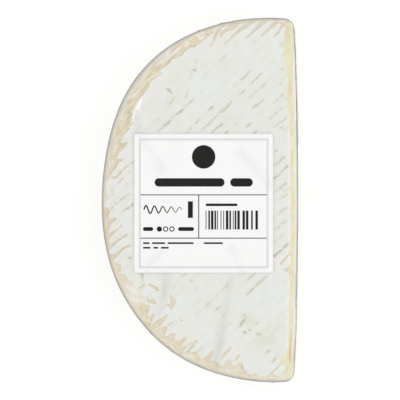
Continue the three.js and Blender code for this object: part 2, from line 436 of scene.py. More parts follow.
softMarks = {"bare": 0.62, "olive": 1.0, "strokes": [
    [(-12.8, 20.9, 0.5), (-11.8, 21.5, 0.7), (-11.2, 22.1, 0.4)],
    [(-9.2, 23.8, 0.3), (-8.6, 24.8, 0.3), (-7.9, 25.4, 0.4)],
    [(-4.0, 28.7, 0.3), (-3.2, 29.1, 0.55), (-2.5, 29.8, 0.6), (-1.7, 30.6, 0.3)],
    [(-1.3, 23.2, 0.5), (-0.1, 24.4, 0.35)], [(-4.2, 20.3, 0.5), (-2.4, 21.9, 0.4)],
    [(0.2, 20.9, 0.35), (2.0, 22.3, 0.5), (3.2, 23.4, 0.7), (3.6, 23.9, 0.35), (5.8, 26.3, 0.35)],
    [(6.0, 26.5, 0.6), (6.8, 26.9, 0.95), (8.2, 28.1, 0.8), (9.4, 29.6, 0.65)],
    [(-9.3, 29.0, 0.4), (-8.2, 29.8, 0.55), (-7.6, 31.0, 0.3)],
    [(-4.4, 30.9, 0.6), (-3.9, 31.9, 0.4), (-3.7, 33.0, 0.3)],
    [(6.2, 41.8, 0.4), (7.0, 42.7, 0.5), (7.7, 43.3, 0.4)], [(10.4, 34.5, 0.5)], [(10.8, 23.0, 0.6)],
    [(12.3, 36.2, 0.65), (13.6, 37.3, 0.65), (14.6, 38.5, 0.5), (15.4, 39.0, 0.2)],
    [(12.0, 31.9, 0.45), (12.8, 32.4, 0.5), (13.4, 33.1, 0.65)], [(24.2, 39.5, 0.3), (25.2, 39.4, 0.4)],
    [(14.8, 30.6, 0.5), (15.4, 31.2, 0.55), (16.3, 32.1, 0.3), (18.2, 33.8, 0.35), (19.5, 34.8, 0.45),
     (20.1, 35.2, 0.2)], [(16.0, 27.8, 0.6), (17.6, 28.9, 0.55), (18.8, 30.0, 0.4), (19.4, 30.8, 0.3)],
    [(24.4, 35.1, 0.6)], [(22.4, 29.4, 0.6)], [(23.3, 30.2, 0.6)], [(24.1, 31.1, 0.5), (25.0, 31.6, 0.5)],
    [(21.2, 24.7, 0.5), (21.9, 25.3, 0.3)], [(22.2, 25.5, 0.3), (23.2, 26.4, 0.5)],
    [(24.2, 27.2, 0.3), (24.7, 27.7, 0.5)],
    [(22.3, 22.0, 0.3), (23.7, 23.1, 0.5), (25.2, 24.2, 0.5), (26.2, 25.0, 0.3)],
    [(24.0, 21.8, 0.4), (25.0, 21.8, 0.4)], [(13.9, 22.1, 0.4), (14.7, 22.6, 0.7), (15.3, 23.2, 0.6)],
    [(22.3, 14.4, 0.5), (23.2, 14.9, 0.6)], [(22.2, 2.3, 0.3), (24.2, 3.9, 0.5), (25.6, 4.9, 0.9)],
    [(24.4, 3.6, 0.4), (25.4, 3.0, 0.4), (26.3, 3.2, 0.4)],
    [(24.1, 0.4, 0.3), (24.8, 0.7, 0.5), (25.4, 1.0, 0.3), (26.3, 1.9, 0.4)], [(22.3, -5.4, 0.5)],
    [(24.3, -7.4, 0.3), (25.2, -6.9, 0.5), (26.0, -6.0, 0.4)], [(22.2, -9.0, 0.3), (23.8, -8.2, 0.6)],
    [(22.2, -12.8, 0.35), (23.6, -11.4, 0.35), (25.1, -10.5, 0.5)], [(24.3, 46.3, 0.3), (25.5, 47.6, 0.4)],
    [(16.3, -26.3, 0.45), (17.4, -25.4, 0.95), (18.8, -24.0, 0.85), (20.3, -22.9, 0.35)],
    [(8.1, -25.9, 0.4), (8.6, -25.4, 0.3)], [(-5.6, -23.0, 0.5), (-4.8, -22.5, 0.4), (-4.0, -22.1, 0.4)],
    [(-3.1, -24.5, 0.3), (-2.4, -24.2, 0.65)], [(-1.3, -26.6, 0.5)], [(1.9, -31.5, 0.6), (3.0, -31.1, 0.3)],
    [(4.4, -33.5, 0.3), (5.2, -32.7, 0.75), (6.0, -32.2, 0.5)],
    [(6.3, -35.6, 0.3), (6.9, -35.2, 0.4), (7.2, -34.4, 0.3)], [(5.0, -40.9, 0.35), (5.3, -40.3, 0.55)],
    [(17.3, -40.4, 0.95), (18.2, -40.5, 0.7)], [(19.8, -46.1, 0.4), (20.6, -45.6, 0.7), (21.3, -45.2, 0.4)],
    [(21.6, -49.0, 0.3), (22.2, -48.3, 0.8), (22.8, -47.5, 0.5)],
    [(0.9, -44.4, 0.4), (0.1, -45.0, 0.4), (-0.9, -45.7, 0.3)],
    [(-9.7, -37.9, 0.3), (-9.0, -37.4, 0.5), (-8.2, -36.8, 0.55)], [(26.0, -48.0, 0.5)],
    [(-17.6, -22.4, 1.0), (-17.3, -23.2, 0.5), (-17.3, -24.4, 0.3)],
    [(-18.1, -26.6, 0.6), (-17.0, -25.7, 0.8)],
    [(-22.4, 10.0, 0.25), (-21.6, 10.4, 0.45), (-20.8, 11.0, 0.45), (-20.0, 11.6, 0.4)],
    [(-22.1, 4.8, 0.5)], [(-24.8, 4.9, 0.4), (-24.2, 5.5, 0.4), (-23.4, 6.4, 0.5)],
    [(-26.5, -3.2, 0.4), (-26.3, -1.8, 0.4)],
    [(-24.2, -0.4, 0.3), (-23.2, 0.5, 0.6), (-22.0, 1.4, 0.5), (-21.2, 1.9, 0.3)],
    [(26.0, -21.0, 0.9), (27.4, -20.4, 1.2)], [(-16.9, -29.3, 0.4)], [(27.3, -29.9, 0.7)],
]}
faintMarks = {"bare": 0.33, "olive": 1.0, "strokes": [
    [(-14.0, 23.8, 0.4), (-12.3, 24.6, 0.4)], [(-1.6, 41.2, 0.3), (-1.0, 42.4, 0.6)],
    [(-2.6, 37.6, 0.4), (-2.6, 38.6, 0.5)], [(-5.3, 35.0, 0.5)], [(11.7, 33.7, 0.4)],
    [(8.9, 24.5, 0.25), (11.0, 24.3, 0.2), (12.5, 24.8, 0.25), (13.9, 26.2, 0.2)], [(22.8, 41.8, 0.4)],
    [(25.4, 20.9, 0.5), (26.2, 21.3, 0.4), (26.3, 22.5, 0.3)], [(-1.3, -23.2, 0.35), (-0.8, -22.5, 0.4)],
    [(4.8, -28.8, 0.4), (6.2, -27.6, 0.3), (7.9, -26.1, 0.25)], [(9.1, -37.0, 0.6)], [(0.8, -40.6, 0.4)],
    [(16.2, -42.0, 0.25), (17.2, -42.9, 0.4)], [(8.8, -48.6, 1.2)],
    [(12.6, -34.4, 0.5), (13.7, -34.8, 0.9), (13.5, -35.8, 0.6)], [(22.5, -43.6, 0.5)],
    [(26.6, -27.0, 0.4)], [(-21.0, -25.1, 0.7), (-20.4, -25.2, 0.4)],
    [(24.6, 43.2, 0.3), (25.6, 44.2, 0.5)], [(24.8, 36.0, 0.3), (25.9, 37.8, 0.3)],
]}

# places where the band is made less bare, and so paler: x, y, how far they reach
veiledBand = [
    (-27.6, 3.4, 2.2), (-28.0, -0.8, 1.6), (-18.6, -29.0, 2.6), (-20.4, -26.4, 2.2), (9.0, -50.8, 2.2),
    (24.5, -53.0, 2.0), (-3.6, -47.0, 1.2), (18.8, -53.8, 1.2), (14.2, 54.6, 1.3),
]

# painted highlights: the film's white glints, painted onto the rind in streaks: x, y and width in mm along
# each
paintedGlintStrokes = [
    [(-12.6, 40.7, 1.2), (-9.2, 43.4, 1.2), (-6.4, 45.6, 1.0)], [(-9.9, 44.5, 2.0), (-9.3, 45.0, 1.6)],
    [(-4.1, 47.1, 1.9)], [(-0.6, 49.6, 1.1), (0.6, 48.9, 1.5), (1.0, 50.3, 1.1)],
    [(2.6, 50.6, 0.7), (7.6, 53.0, 0.8)], [(-15.4, 36.0, 0.9), (-12.8, 38.0, 0.9)],
    [(-13.4, 42.6, 0.6), (-9.0, 45.6, 0.6)], [(-19.7, 28.6, 0.6), (-20.5, 25.9, 1.3), (-20.0, 23.4, 1.4)],
    [(-22.8, 30.2, 0.8), (-19.8, 31.7, 0.8)], [(-26.2, 14.0, 1.0), (-25.2, 15.8, 1.0)],
    [(-27.8, 10.0, 1.0), (-26.4, 11.6, 1.0)], [(-19.9, 23.4, 1.6), (-19.2, 21.8, 1.8), (-18.0, 20.6, 1.2)],
    [(-21.8, -26.2, 1.2), (-19.0, -27.6, 1.6)], [(-20.4, -30.2, 1.4), (-17.4, -30.6, 1.6)],
    [(-26.2, 8.2, 1.0), (-27.3, 5.0, 1.6), (-27.5, 1.0, 1.3), (-28.2, -1.4, 1.3)],
]

# the crease that the knife left beside the cut
knifeCrease = [
    (27.75, -39.8, 0.2), (27.45, -43.5, 0.35), (27.3, -46.5, 0.7), (27.4, -49.0, 0.6), (27.7, -51.0, 0.2),
]

# places where the mould is thin and the rind shows through: x, y, length, width, amount
hazes = [
    (20.1, -41.5, 4.0, 2.2, 0.8), (2.0, -31.5, 2.0, 1.4, 0.5), (14.6, -36.0, 1.8, 2.4, 0.6),
    (-11.5, 24.0, 3.2, 1.2, 0.5), (-17.0, 18.0, 2.6, 1.2, 0.5), (-9.0, 29.0, 3.0, 1.3, 0.4),
    (7.5, 41.0, 2.4, 1.2, 0.4), (19.5, 23.0, 3.0, 1.6, 0.4), (-15.0, -30.5, 1.6, 1.6, 0.4),
    (12.0, 26.5, 3.5, 0.9, 0.3), (24.5, 30.0, 2.5, 1.5, 0.3), (-6.5, -27.0, 2.4, 1.6, 0.3),
]

# the cheese, in mm
cheeseLook = {"gap": 0.58, "voxel": 0.36, "triangles": 190000, "footThinned": 2.5}
rindLook = {
    "mouldThick": 0.14,
    "creaseDeep": 0.3,
    "creaseEnds": (2.8, 1.8),  # so far under the top
    "wanderX": [(0.09, 1.3, 60), (0.06, 0.6, 20)],
    "wanderY": [(0.09, 1.3, 66), (0.06, 0.6, 26)],
    "ragged": [(1.0, 0.8, 41)],
    "raggedBy": (0.15, 0.12),  # all over, and so much more towards the upper end
    "lowEndWider": 0.15,  # the band is so much wider at the lower end
    "leastBare": 0.4,
    "wallFrom": (10.0, 5.5),  # so far under the top
    "wallBareness": 0.7,
    "wallPatches": [(0.8, 6.0, 0), (0.8, 2.6, 40), (0.5, 1.2, 9)],
    "wallMould": 0.3,  # the more, the less bare rind
    "relief": [(0.07, 5.5, 0), (0.035, 1.3, 33)],
    "wallRelief": [(0.09, 3.4, 0)],
    "greyEdge": [(0.4, 2.2, 3)],
    "shownFrom": 1.5,  # distances are kept this near to bare rind
}

# faint marks of the rack's wires that the mould has nearly grown over
wireLook = {
    "rows": 30, "firstRow": 29.0, "rowStep": 2.82, "ends": (-40.0, 56.0), "widths": (0.15, 0.35), "seed": 3,
}


def insideEdge(x, y, corners):
    # how far each place is from a closed outline, below zero outside it
    reach = np.full_like(x, farAway)
    inside = np.zeros_like(x, dtype=bool)
    for (ax, ay), (bx, by) in zip(corners, corners[1:] + corners[:1]):
        reach = np.minimum(reach, distanceTo(x, y, (ax, ay), (bx, by)))
        crossed = (ay > y) != (by > y)
        inside ^= crossed & (x < ax + (bx - ax) * (y - ay) / (by - ay if by != ay else 1))
    return np.where(inside, reach, -reach)


def strokeReach(x, y, through):
    # below zero inside a stroke that runs through places with widths
    nearest = np.full_like(x, farAway)
    for start, end in zip(through, through[1:] or through):
        share, reach = alongSegment(x, y, start, end)
        nearest = np.minimum(nearest, reach - (start[2] + (end[2] - start[2]) * share) / 2)
    return nearest


def bareRind(points):
    # how far each place is from bare rind, below zero on it, how bare that rind is, and how olive
    lumps = makeLumps(11)
    x, y = points.T[:2]
    flat = onPlane(x, y)
    wavyX = x + layered(lumps, flat, rindLook["wanderX"])
    wavyY = y + layered(lumps, flat, rindLook["wanderY"])
    least, more = rindLook["raggedBy"]
    ragged = (least + more * smoothStep(-10, 20, y)) * layered(lumps, flat, rindLook["ragged"])
    nearest = insideEdge(wavyX, wavyY, mouldEdge) + ragged
    nearest = nearest - rindLook["lowEndWider"] * smoothStep(-28, -34, y)
    bareness = np.ones_like(x)
    for patchX, patchY, reach in veiledBand:
        bareness = bareness - 0.5 * np.exp(-((x - patchX) ** 2 + (y - patchY) ** 2) / reach ** 2)
    bareness = np.maximum(bareness, rindLook["leastBare"])
    olive = np.zeros_like(x)

    def add(through, amount, hue):
        nonlocal nearest, bareness, olive
        distance = strokeReach(wavyX, wavyY, through)
        bareness = np.where(distance < nearest, amount, bareness)
        olive = np.where(distance < nearest, hue, olive)
        nearest = np.minimum(nearest, distance)

    for marks in (topTeeth, teeth, tanSpots, paleSpots, darkMarks, softMarks, faintMarks):
        for through in marks["strokes"]:
            add(through, marks["bare"], marks["olive"])

    chance = np.random.default_rng(wireLook["seed"])
    thinEnd, thickMiddle = wireLook["widths"]
    for row in range(wireLook["rows"]):
        across = wireLook["firstRow"] - row * wireLook["rowStep"] + chance.uniform(-0.3, 0.3)
        along = wireLook["ends"][0]
        while along < wireLook["ends"][1]:
            start = along + chance.uniform(1.5, 9.0)
            along = start + chance.uniform(0.8, 3.5)
            places = ((start, thinEnd), ((start + along) / 2, thickMiddle), (along, thinEnd))
            through = [(*turnedPlace(place, across, rackAngle), width) for place, width in places]
            add(through, chance.uniform(0.05, 0.22), 1.0)
    return nearest, bareness, olive


# the cut face: its rind, the strip that shows from above, eyes in the paste, and the knife's marks
cutLook = {
    "rindRound": 1.6,
    "rindFlat": 1.2,
    "stripRagged": [(0.35, 1.3, 60)],
    "stripDeep": 0.8,
    "upperCorner": 44,  # from here up, the strip's width alone says where the paste shows
    "ragged": [(0.22, 2.4, 70), (0.14, 0.9, 80)],
    "coreRound": 2.5,  # the chalky core's corners
    "coreRagged": [(1.6, 6.0, 51)],
    "relief": [(0.16, 9.0, 0), (0.05, 2.6, 12)],
    "knifeMarks": [(0.03, 2.0, 0)],
    "knifeSlope": 0.5,
    "eyes": 26,
    "eyeRadius": (0.35, 1.5),
    "eyeDeep": 0.75,  # for each mm of radius
    "seed": 8,
}


def pasteDepth(points, level, lumps):
    # how deep in the paste each place of the cut lies, and how far it belongs to the cut
    x, y = points.T[:2]
    fromRound = roundSideDepth(x, y, level) - cutLook["rindRound"]
    fromFlat = 2 * np.minimum(height - level, level) - cutLook["rindFlat"]
    depth = np.minimum(fromRound, fromFlat)
    upper = level > height / 2
    deep = cutLook["stripDeep"]
    ragged = layered(lumps, points, cutLook["stripRagged"])
    strip = np.interp(y, *zip(*stripWidths)) - fromCrown(x, y) + ragged
    corner = upper & (strip < deep) & (y > cutLook["upperCorner"])
    depth = np.where(corner, np.minimum(depth, strip), depth)
    strip = np.where(upper, np.minimum(strip, deep), -1.5)
    paste = np.maximum(depth, np.minimum(strip, roundSideDepth(x, y, level) - 1.2))
    paste = paste + layered(lumps, points, cutLook["ragged"])
    soft = cutLook["coreRound"]
    core = -soft * np.logaddexp(-fromRound / soft, -fromFlat / soft)
    core = core + layered(lumps, points, cutLook["coreRagged"])
    return paste + (core - depth) * smoothStep(1.0, 4.0, depth), smoothStep(0.35, 0.9, depth)


def pasteRelief(points, lumps):
    x, y, z = points.T
    slope = cutLook["knifeSlope"]
    slanted = np.stack([np.zeros_like(x), (y + slope * z) * 2.2, (z - slope * y) * 0.12], axis=1)
    relief = layered(lumps, points, cutLook["relief"]) + layered(lumps, slanted, cutLook["knifeMarks"])
    chance = np.random.default_rng(cutLook["seed"])
    for eye in range(cutLook["eyes"]):
        eyeY = chance.uniform(-48, 48)
        eyeZ = chance.uniform(4.5, height - 5.0)
        radius = chance.uniform(*cutLook["eyeRadius"]) * chance.uniform(0.6, 1.0)
        stretch = chance.uniform(0.9, 1.7)
        reach = np.hypot((y - eyeY) / stretch, z - eyeZ) / radius
        relief = relief - cutLook["eyeDeep"] * radius * np.clip(1 - reach ** 2, 0, 1) * (x > 20)
    return relief


def paintedFilmSheen(points, level, lumps):
    # painted film sheen: where the film stands off at the upper left edge, its grey sheen is painted onto the
    # rind
    x, y = points.T[:2]
    angle, reach = fromWheelMiddle(x, y)
    share = smoothStep(108, 124, angle % 360) * smoothStep(174, 157, angle % 360)
    share = share * smoothStep(height - 11.0, height - 7.5, level)
    fromEdge = wheelRadius(angle) - reach + layered(lumps, points, rindLook["greyEdge"])
    return share * smoothStep(2.1, 0.9, fromEdge)


def thinHaze(points, lumps):
    x, y = points.T[:2]
    haze = np.zeros_like(x)
    for middleX, middleY, long, wide, amount in hazes:
        along, across = turnedPlace(x - middleX, y - middleY, -rackAngle)
        haze = haze + amount * np.exp(-((along / long) ** 2 + (across / wide) ** 2))
    return haze * np.clip(1 + lumps(points + 15, 1.6), 0.3, 1.7)


def makeCheese():
    def thinning(points):
        # the foot most, the wall a little, and the top only under the label
        z = points[:, 2]
        wallTop = height - halfWheel["topShoulder"][1]
        places = [z < cheeseLook["footThinned"], z < wallTop, underLabel(points)]
        return np.select(places, [1.0, 0.2, 0.5], 0.0)

    piece = makeSkin("cheese", cheeseLook, thinning)
    points = readVertices(piece.data, "co")
    normals = readVertices(piece.data, "normal")
    x, y, z = points.T
    level = (z - cheeseLook["gap"]) / (1 - 2 * cheeseLook["gap"] / height)
    lumps = makeLumps(21)

    nearest, bareness, olive = bareRind(points)
    # the wall has mould over most of it, with bare patches
    low, high = rindLook["wallFrom"]
    onWall = 1 - smoothStep(height - low, height - high, level)
    shown = rindLook["shownFrom"]
    wallMould = layered(lumps, points * (1.0, 1.0, 1.6), rindLook["wallPatches"]) + rindLook["wallMould"]
    nearest = nearest * (1 - onWall) + np.clip(wallMould, -shown, shown) * onWall
    bareness = bareness * (1 - onWall) + rindLook["wallBareness"] * onWall

    paste, onCut = pasteDepth(points, level, lumps)
    bare = smoothStep(0.25, -0.25, nearest) * bareness
    crease = smoothStep(0.2, -0.12, strokeReach(x, y, knifeCrease))
    low, high = rindLook["creaseEnds"]
    crease = crease * smoothStep(height - low, height - high, level)
    rind = rindLook["mouldThick"] * (1 - bare) + layered(lumps, points, rindLook["relief"])
    rind = rind + layered(lumps, points * (1, 1, 2.2), rindLook["wallRelief"]) * onWall
    relief = rind * (1 - onCut) + pasteRelief(points, lumps) * onCut - rindLook["creaseDeep"] * crease
    setPoints(piece.data, (points + normals * relief[:, None]) * mm)

    # painted highlight: how far each place is from the strokes of painted glints
    clinging = np.min([strokeReach(x, y, through) for through in paintedGlintStrokes], axis=0)
    storeFields(
        piece, bare=np.clip(nearest, -shown, shown), bareness=bareness, olive=olive,
        paste=np.clip(paste, -1.5, 14.0), crease=crease, haze=thinHaze(points, lumps) * (1 - onWall),
        high=smoothStep(-24, -8, y), veil=paintedFilmSheen(points, level, lumps),
        clinging=np.where(level > height / 2, np.clip(clinging, -shown, shown), shown))
    piece.data.shade_smooth()
    return piece


# the film's pleats, gathered down the round side and folded in under the foot, and the lap below
pleatLook = {
    "roundSide": {"count": 58, "from": 84, "to": 276, "jitter": 1.6, "slant": 0.28},  # degrees
    "height": (0.08, 0.34),
    "width": (0.4, 0.9),
    "begins": (7, 15),
    "fadesOver": 9,
    "cut": {"count": 12, "height": (0.08, 0.25), "width": (0.4, 0.8)},
    "sag": [(0.04, 6.0, 0)],
    "flattenedUnder": 0.55,
    "lapHeight": 0.12,
    "lapFrom": 3.0,
    "lapEdge": [(1.5, 12.0, 0)],
    "lapEnds": (44, 40),
    "shownInFull": 0.5,  # the height at which a pleat is seen in full
    "seed": 14,
}


def pleatRelief(points):
    x, y, z = points.T
    angle, reach = fromWheelMiddle(x, y)
    fromRound = wheelRadius(angle) - reach
    chance = np.random.default_rng(pleatLook["seed"])
    pleats = np.zeros_like(x)
    side = pleatLook["roundSide"]
    for start in np.linspace(side["from"], side["to"], side["count"]):
        at = start + chance.uniform(-side["jitter"], side["jitter"])
        slant = chance.uniform(-side["slant"], side["slant"])  # for each mm down
        tall = chance.uniform(*pleatLook["height"])
        width = chance.uniform(*pleatLook["width"])
        begins = chance.uniform(*pleatLook["begins"])
        away = (angle % 360 - at - slant * (begins - z)) * np.radians(reach)
        down = smoothStep(begins, begins - pleatLook["fadesOver"], z) * smoothStep(26, 12, fromRound)
        pleats = pleats + tall * down * np.exp(-((away / width) ** 2))
    cut = pleatLook["cut"]
    onCut = smoothStep(1.6, 0.5, cutDepth(x, y, z))
    for pleat in range(cut["count"]):
        end = 1 if pleat % 2 else -1
        fromY = end * chance.uniform(40, 54)
        fromZ = chance.uniform(3, 25)
        toY = fromY - end * chance.uniform(9, 30)
        toZ = fromZ + chance.uniform(-4, 4)
        away = distanceTo(y, z, (fromY, fromZ), (toY, toZ))
        tall = chance.uniform(*cut["height"])
        pleats = pleats + tall * onCut * np.exp(-((away / chance.uniform(*cut["width"])) ** 2))
    return pleats


def makeFilm():
    def thinning(points):
        onFoot = points[:, 2] < filmLook["footThinned"]
        return np.select([underLabel(points), onFoot], [1.0, 0.6], 0.1)

    piece = makeSkin("film", filmLook, thinning)
    points = readVertices(piece.data, "co")
    normals = readVertices(piece.data, "normal")
    x, y, z = points.T
    lumps = makeLumps(31)
    pleats = pleatRelief(points)
    folds = foldRelief(x, y) * (z > height / 2)
    sag = np.where(z > height / 2, 0, layered(lumps, points, pleatLook["sag"]))
    under = smoothStep(1.2, 0.4, z)
    fromLap = x - pleatLook["lapFrom"] - layered(lumps, points, pleatLook["lapEdge"])
    lap = smoothStep(-0.3, 0.3, fromLap) * smoothStep(*pleatLook["lapEnds"], np.abs(y)) * under
    relief = pleats * (1 - pleatLook["flattenedUnder"] * under) + folds + sag
    relief = relief + pleatLook["lapHeight"] * lap
    moved = points + normals * relief[:, None]
    moved[:, 2] += smoothStep(height - 1.0, height - 0.5, z) * topSag(x, y)
    moved[:, 2] = np.clip(moved[:, 2], 0, height)
    setPoints(piece.data, moved * mm)
    storeFields(
        piece, fold=np.clip(folds / foldLook["tallest"] + pleats / pleatLook["shownInFull"], 0, 1),
        cutFace=smoothStep(2.5, 0.5, cutDepth(x, y, z)),
        upright=smoothStep(0.85, 0.6, np.abs(readVertices(piece.data, "normal")[:, 2])))
    piece.data.shade_smooth()
    return piece


# the label, in mm from its own middle
labelLook = {
    "side": labelHigh[0] - labelLow[0],
    "cornerRadius": 0.8,
    "thick": 0.11,
    "overFilm": 0.02,
    "step": 0.5,
    "cornerLift": 0.10,
    "inkThick": 0.02,
}


def onPaper(x, y, over=0.0):
    # points over the paper's upper face, which follows the film's folds and lifts at its corners
    half = labelLook["side"] / 2
    corner = np.maximum(np.abs(x), np.abs(y)) / half * (np.abs(x * y) ** 0.5)
    lift = labelLook["cornerLift"] * smoothStep(0.8, 1.0, corner / half)
    x = x + labelMiddle[0]
    y = y + labelMiddle[1]
    z = filmTop(x, y) + labelLook["overFilm"] + labelLook["thick"] + lift + over
    return np.stack([x, y, z], axis=1)


def slab(upper, columns, thick):
    # a closed slab under rows of points, whose columns run to the left
    count = len(upper)
    rows = count // columns
    faces = []
    for row in range(rows - 1):
        for column in range(columns - 1):
            a = row * columns + column
            quad = [a, a + columns, a + columns + 1, a + 1]
            faces += [quad, [i + count for i in quad[::-1]]]
    rim = [row * columns for row in range(rows)]
    rim += [count - columns + column for column in range(1, columns)]
    rim += [row * columns + columns - 1 for row in range(rows - 2, -1, -1)]
    rim += list(range(columns - 2, 0, -1))
    faces += [[b, a, a + count, b + count] for a, b in zip(rim, rim[1:] + rim[:1])]
    return np.concatenate([upper, upper - (0, 0, thick)]), faces


def makeLabelPaper():
    half = labelLook["side"] / 2
    radius = labelLook["cornerRadius"]
    line = np.linspace(-half, half, int(labelLook["side"] / labelLook["step"]) + 1)
    x, y = [grid.ravel() for grid in np.meshgrid(line, line, indexing="ij")]
    # the four corners are drawn in onto their arcs
    outX = np.maximum(np.abs(x) - half + radius, 0)
    outY = np.maximum(np.abs(y) - half + radius, 0)
    drawn = np.minimum(1, radius / np.maximum(np.hypot(outX, outY), 1e-9))
    drawn = np.where((outX > 0) & (outY > 0), drawn, 1)
    x = np.sign(x) * (np.minimum(np.abs(x), half - radius) + outX * drawn)
    y = np.sign(y) * (np.minimum(np.abs(y), half - radius) + outY * drawn)
    vertices, faces = slab(onPaper(x, y), len(line), labelLook["thick"])
    piece = addPiece("label_paper", vertices * mm, faces)
    folds = foldRelief(x + labelMiddle[0], y + labelMiddle[1]) / foldLook["tallest"]
    storeFields(piece, fold=np.concatenate([folds, folds]))
    for face in piece.data.polygons:
        face.use_smooth = abs(face.normal.z) > 0.5
    return piece


def strokeAlong(path, widths, across=1):
    # a flat closed stroke of ink along a path on the paper, following the paper's creases
    path = np.array(path, float)
    ahead = np.gradient(path, axis=0)
    ahead /= np.linalg.norm(ahead, axis=1)[:, None]
    side = np.stack([-ahead[:, 1], ahead[:, 0]], axis=1) * np.broadcast_to(widths, len(path))[:, None]
    flat = np.stack([path + side * share for share in np.linspace(-0.5, 0.5, across + 1)], axis=1)
    upper = onPaper(flat[..., 0].ravel(), flat[..., 1].ravel(), labelLook["inkThick"] / 2)
    return slab(upper, across + 1, labelLook["inkThick"] * 1.5)


def bar(x0, x1, y, tall):
    # a solid bar with round ends
    radius = tall / 2
    ends = radius * (1 - np.cos(np.linspace(0, math.pi / 2, 7)))
    middle = np.linspace(radius, x1 - x0 - radius, max(2, int((x1 - x0) / 0.6)))
    reach = np.concatenate([ends[:-1], middle, x1 - x0 - ends[-2::-1]])
    fromEnd = np.minimum(np.minimum(reach, x1 - x0 - reach), radius)
    widths = 2 * np.sqrt(np.maximum(radius ** 2 - (radius - fromEnd) ** 2, 0)) + 0.02
    path = np.stack([x0 + reach, np.full_like(reach, y)], axis=1)
    return strokeAlong(path, widths, max(1, round(tall / 0.7)))


def ring(x, y, radius, line):
    turn = np.linspace(0, 2 * math.pi, 41)
    return strokeAlong(np.stack([x + radius * np.cos(turn), y + radius * np.sin(turn)], axis=1), line)


def rule(start, end, line, across=1):
    count = max(2, int(math.dist(start, end) / 0.6) + 2)
    return strokeAlong(np.linspace(start, end, count), line, across)


def joinStrokes(name, strokes):
    vertices = []
    faces = []
    for places, quads in strokes:
        faces += [[i + len(vertices) for i in quad] for quad in quads]
        vertices.extend(places * mm)
    return addPiece(name, vertices, faces)


# the print, in mm from the label's middle: only plain discs, bars, rings and lines
printLook = {
    "frameHalf": 19.25,
    "frameLine": 0.66,
    "ruleLine": 0.27,
    "disc": (0.0, 14.0, 3.55),  # x, y, radius
    "wideBars": {"spans": [(-14.8, 6.3), (8.0, 14.8)], "y": 6.3, "tall": 2.5},
    "upperRule": 2.54,
    "lowerRule": -10.5,
    "divider": -1.48,
    "ruleEnds": (-19.1, 19.05),
    "wave": {"from": -18.0, "to": -6.6, "y": -1.9, "swing": 1.25, "turns": 4.5, "line": 0.42},
    "upright": (-4.0, -4.4, 0.6, 1.5),  # x, foot, top, width
    "dots": {"x": (-13.35, -11.45, -9.55), "radius": 0.8, "line": 0.32},
    "dotBars": {"spans": [(-18.3, -15.2), (-7.7, -2.9)], "y": -7.75, "tall": 1.15},
    "stripes": {"from": 0.6, "to": 16.9, "low": -7.9, "high": -2.2, "seed": 6},
    "stripesBar": {"spans": [(0.6, 10.2)], "y": -0.45, "tall": 0.75},
    "smallBars": [
        {"spans": [(-18.3, -16.3), (-15.6, -11.6), (-10.9, -3.0), (0.0, 5.8)], "y": -12.0, "tall": 0.5},
        {"spans": [(-18.3, -16.0), (-15.2, -13.7), (-12.9, -10.5)], "y": -13.4, "tall": 0.5},
    ],
}


def makeBlackPrint():
    look = printLook
    x, y, radius = look["disc"]
    strokes = [bar(x - radius, x + radius, y, 2 * radius)]
    for row in (look["wideBars"], look["dotBars"], look["stripesBar"], *look["smallBars"]):
        strokes += [bar(start, end, row["y"], row["tall"]) for start, end in row["spans"]]
    left, right = look["ruleEnds"]
    for y in (look["upperRule"], look["lowerRule"]):
        strokes.append(rule((left, y), (right, y), look["ruleLine"]))
    middle = look["divider"]
    strokes.append(rule((middle, look["upperRule"]), (middle, look["lowerRule"]), look["ruleLine"]))

    wave = look["wave"]
    share = np.linspace(0, 1, 120)
    swing = wave["swing"] * (1 - 0.45 * share) * np.sin(2 * math.pi * wave["turns"] * share)
    path = np.stack([wave["from"] + (wave["to"] - wave["from"]) * share, wave["y"] + swing], axis=1)
    strokes.append(strokeAlong(path, wave["line"] * (0.75 + 0.25 * np.cos(math.pi * share))))

    x, foot, top, wide = look["upright"]
    strokes.append(rule((x, foot), (x, top), wide, 2))
    dots = look["dots"]
    filled, *unfilled = dots["x"]
    level = look["dotBars"]["y"]
    strokes.append(bar(filled - dots["radius"], filled + dots["radius"], level, 2 * dots["radius"]))
    strokes += [ring(x, level, dots["radius"] - dots["line"] / 2, dots["line"]) for x in unfilled]

    stripes = look["stripes"]
    chance = np.random.default_rng(stripes["seed"])
    x = stripes["from"]
    while x < stripes["to"]:
        wide = float(chance.choice([0.25, 0.25, 0.5, 0.75]))
        strokes.append(rule((x + wide / 2, stripes["low"]), (x + wide / 2, stripes["high"]), wide))
        x += wide + float(chance.choice([0.3, 0.3, 0.55, 0.8]))
    return joinStrokes("label_black_print", strokes)


def makeGreyLine():
    half = printLook["frameHalf"]
    line = printLook["frameLine"]
    over = line / 2
    strokes = []
    for side in (-half, half):
        strokes.append(rule((-half - over, side), (half + over, side), line))
        strokes.append(rule((side, over - half), (side, half - over), line))
    return joinStrokes("label_grey_line", strokes)


# shader helpers
def addNode(tree, kind, values=None, **settings):
    node = tree.nodes.new("ShaderNode" + kind)
    for name, value in settings.items():
        setattr(node, name, value)
    for name, value in (values or {}).items():
        if isinstance(value, bpy.types.NodeSocket):
            tree.links.new(value, node.inputs[name])
        else:
            node.inputs[name].default_value = value
    return node


def calc(tree, operation, first, second):
    return addNode(tree, "Math", {0: first, 1: second}, operation=operation).outputs[0]


def times(tree, first, second):
    return calc(tree, "MULTIPLY", first, second)


def plus(tree, first, second):
    return calc(tree, "ADD", first, second)


def spread(tree, value, low, high, toLow=0.0, toHigh=1.0):
    places = {"Value": value, "From Min": low, "From Max": high, "To Min": toLow, "To Max": toHigh}
    return addNode(tree, "MapRange", places, interpolation_type="SMOOTHSTEP").outputs[0]


def blend(tree, share, first, second):
    return addNode(tree, "Mix", {0: share, 6: first, 7: second}, data_type="RGBA").outputs[2]


def field(tree, name):
    return addNode(tree, "Attribute", attribute_name=name).outputs["Fac"]


